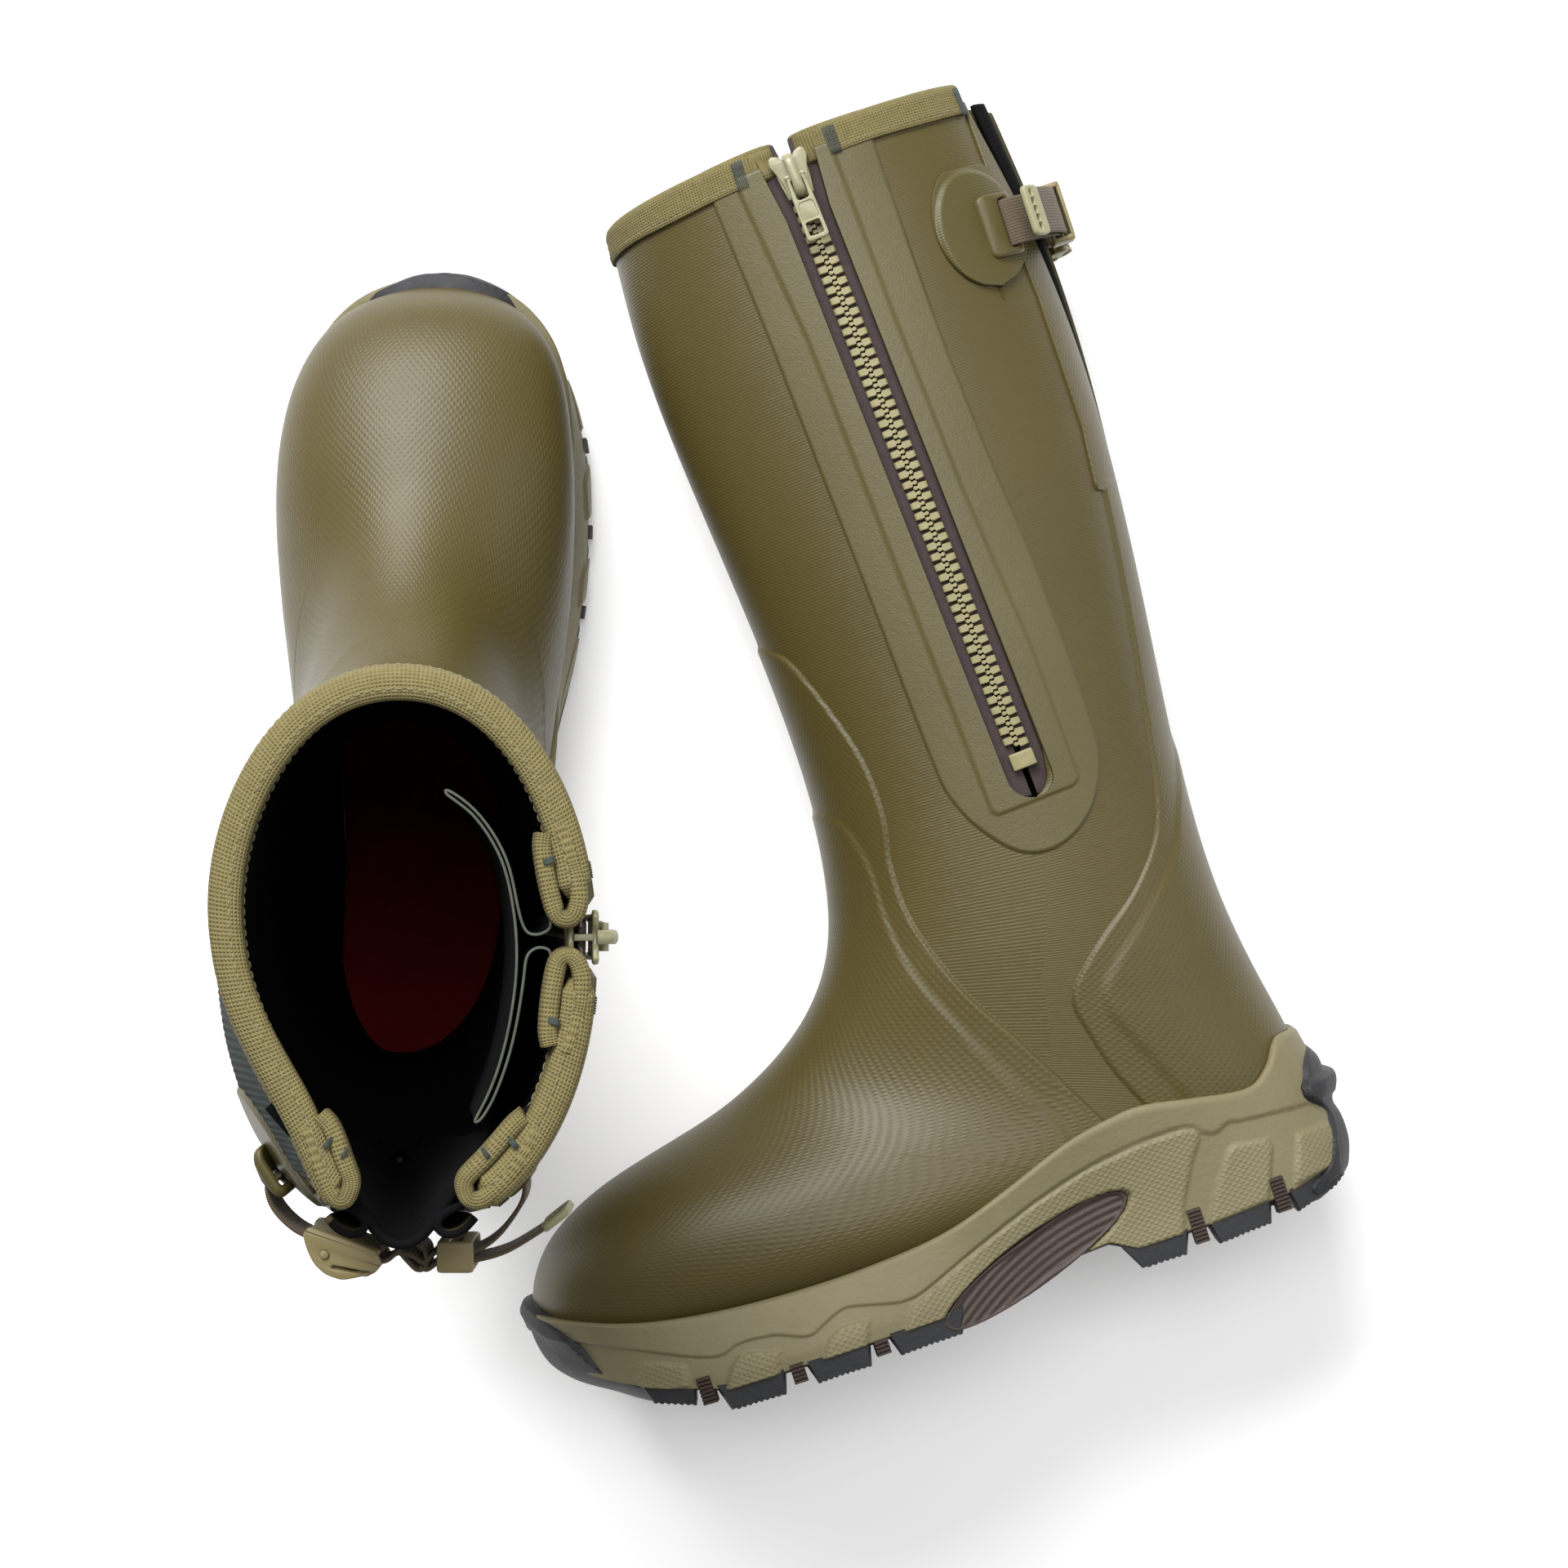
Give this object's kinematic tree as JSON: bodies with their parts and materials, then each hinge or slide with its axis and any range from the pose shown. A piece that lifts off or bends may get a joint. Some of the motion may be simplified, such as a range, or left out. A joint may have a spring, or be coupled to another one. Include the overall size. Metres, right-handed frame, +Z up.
{
  "type": "insulated hunting boots",
  "caption": "Knee-high insulated rubber boots with a side zip, a strapped rear gusset and a lugged sole, one standing and one lying.",
  "frame": {"origin": "the middle of the standing boot's heel tread, on the ground", "axes": "+Y to the standing boot's toe, +Z up its shaft, +X to its zip side"},
  "size_m": [0.4159, 0.5018, 0.4495],
  "materials": {
    "tread": "matt moulded",
    "brown_rubber": "matt moulded",
    "midsole_rubber": "matt moulded",
    "shank_steel": "brushed",
    "board": "fibreboard",
    "footbed": "brushed textile",
    "upper_rubber": "satin",
    "overlay_rubber": "satin",
    "placket_rubber": "satin grained",
    "neoprene": "jersey faced neoprene",
    "counter": "thermoplastic",
    "ribbed_elastic": "corded elastic",
    "binding_webbing": "ribbed webbing",
    "zip_tape": "woven tape",
    "zip_plastic": "moulded",
    "slider_coated": "lacquered",
    "strap_webbing": "woven webbing",
    "hardware_plastic": "moulded"
  },
  "bodies": {
    "right_boot": {"right_outsole_lugs": "tread", "right_outsole_base": "brown_rubber", "right_midsole": "midsole_rubber", "right_arch_inserts": "brown_rubber", "right_shank": "shank_steel", "right_insole_board": "board", "right_footbed": "footbed", "right_foot_shell": "upper_rubber", "right_shaft_shell": "upper_rubber", "right_foot_lining": "neoprene", "right_shaft_lining": "neoprene", "right_heel_counter": "counter", "right_zip_placket": "placket_rubber", "right_shin_overlay": "overlay_rubber", "right_heel_overlay": "overlay_rubber", "right_back_strip": "overlay_rubber", "right_rear_gusset": "neoprene", "right_zip_bellows": "neoprene", "right_stretch_panel": "ribbed_elastic", "right_top_binding": "binding_webbing", "right_zip_tapes": "zip_tape", "right_zip_teeth": "zip_plastic", "right_zip_stop": "zip_plastic", "right_strap_anchors": "placket_rubber", "right_adjusting_strap": "strap_webbing", "right_ladder_lock": "hardware_plastic", "right_buckle_body": "hardware_plastic"},
    "right_zip_slider_body": {"right_zip_slider": "slider_coated"},
    "right_zip_puller_body": {"right_zip_puller": "slider_coated"},
    "right_buckle_lever_body": {"right_buckle_lever": "hardware_plastic"},
    "left_boot": {"left_outsole_lugs": "tread", "left_outsole_base": "brown_rubber", "left_midsole": "midsole_rubber", "left_arch_inserts": "brown_rubber", "left_shank": "shank_steel", "left_insole_board": "board", "left_footbed": "footbed", "left_foot_shell": "upper_rubber", "left_shaft_shell": "upper_rubber", "left_foot_lining": "neoprene", "left_shaft_lining": "neoprene", "left_heel_counter": "counter", "left_zip_placket": "placket_rubber", "left_shin_overlay": "overlay_rubber", "left_heel_overlay": "overlay_rubber", "left_back_strip": "overlay_rubber", "left_rear_gusset": "neoprene", "left_zip_bellows": "neoprene", "left_stretch_panel": "ribbed_elastic", "left_top_binding": "binding_webbing", "left_zip_tapes": "zip_tape", "left_zip_teeth": "zip_plastic", "left_zip_stop": "zip_plastic", "left_strap_anchors": "placket_rubber", "left_adjusting_strap": "strap_webbing", "left_ladder_lock": "hardware_plastic", "left_buckle_body": "hardware_plastic"},
    "left_zip_slider_body": {"left_zip_slider": "slider_coated"},
    "left_zip_puller_body": {"left_zip_puller": "slider_coated"},
    "left_buckle_lever_body": {"left_buckle_lever": "hardware_plastic"}
  },
  "joints": [
    {"name": "right_zip_slide", "type": "slide", "parent": "right_boot", "child": "right_zip_slider_body", "axis": [-0.1378, -0.0333, -0.9899], "range_m": [0, 0.22], "deforming": ["right_zip_teeth"]},
    {"name": "right_puller_swing", "type": "hinge", "parent": "right_zip_slider_body", "child": "right_zip_puller_body", "pos_m": [0.0909, 0.03609, 0.42538], "axis": [0.0046, -0.9994, 0.0329], "range_deg": [0, 150]},
    {"name": "right_lever_flip", "type": "hinge", "parent": "right_boot", "child": "right_buckle_lever_body", "pos_m": [0.01057, -0.05454, 0.39], "axis": [0, 0, -1], "range_deg": [0, 110]},
    {"name": "left_zip_slide", "type": "slide", "parent": "left_boot", "child": "left_zip_slider_body", "axis": [0.3658, -0.9307, -0.0035], "range_m": [0, 0.22], "deforming": ["left_zip_teeth"]},
    {"name": "left_puller_swing", "type": "hinge", "parent": "left_zip_slider_body", "child": "left_zip_puller_body", "pos_m": [0.14386, 0.30377, 0.10927], "axis": [-0.9307, -0.3658, -0.0002], "range_deg": [0, 150]},
    {"name": "left_lever_flip", "type": "hinge", "parent": "left_boot", "child": "left_buckle_lever_body", "pos_m": [0.24292, 0.2957, 0.0338], "axis": [-0.309, 0.9511, 0], "range_deg": [0, 110]},
    {"name": "left_boot_lift", "type": "slide", "parent": "right_boot", "child": "left_boot", "axis": [0, 0, 1], "range_m": [0, 0.25]}
  ]
}
